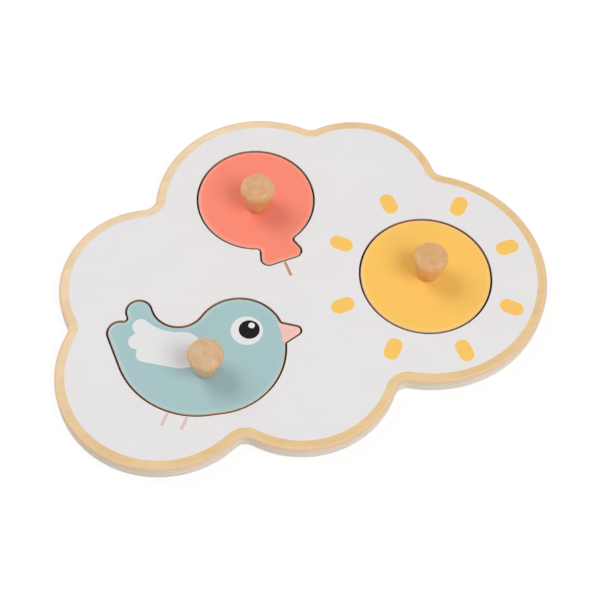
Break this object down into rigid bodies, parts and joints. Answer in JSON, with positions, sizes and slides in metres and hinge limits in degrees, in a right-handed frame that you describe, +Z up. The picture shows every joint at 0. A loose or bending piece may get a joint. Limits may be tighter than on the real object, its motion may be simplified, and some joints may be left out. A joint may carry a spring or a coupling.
{
  "type": "knob puzzle",
  "caption": "Cloud-shaped wooden puzzle board with inset sun, balloon and bird pieces that lift out by turned knobs",
  "frame": {"origin": "middle of the board's outline (its bounding box seen from above) on the table that the board lies on", "axes": "+X along the board's length, from the bird towards the sun; +Y from the bird towards the balloon; +Z up, the way the pieces lift out"},
  "size_m": [0.3004, 0.2315, 0.0323],
  "materials": {
    "bare_plywood": "sanded bare plywood",
    "printed_plywood": "pale matt print on sanded plywood",
    "yellow_paint": "matt yellow print on plywood",
    "coral_paint": "matt coral print on plywood",
    "teal_paint": "matt pale teal print on plywood",
    "beech": "turned and sanded bare beech",
    "steel": "plain zinc-plated steel"
  },
  "bodies": {
    "board": {"backing_panel": "bare_plywood", "face_panel": "printed_plywood"},
    "sun": {"sun_piece": "yellow_paint", "sun_knob": "beech", "sun_knob_screw": "steel"},
    "balloon": {"balloon_piece": "coral_paint", "balloon_knob": "beech", "balloon_knob_screw": "steel"},
    "bird": {"bird_piece": "teal_paint", "bird_knob": "beech", "bird_knob_screw": "steel"}
  },
  "joints": [
    {"name": "sun_lift", "type": "slide", "parent": "board", "child": "sun", "axis": [0, 0, 1], "range_m": [0, 0.05]},
    {"name": "balloon_lift", "type": "slide", "parent": "board", "child": "balloon", "axis": [0, 0, 1], "range_m": [0, 0.05]},
    {"name": "bird_lift", "type": "slide", "parent": "board", "child": "bird", "axis": [0, 0, 1], "range_m": [0, 0.05]}
  ]
}
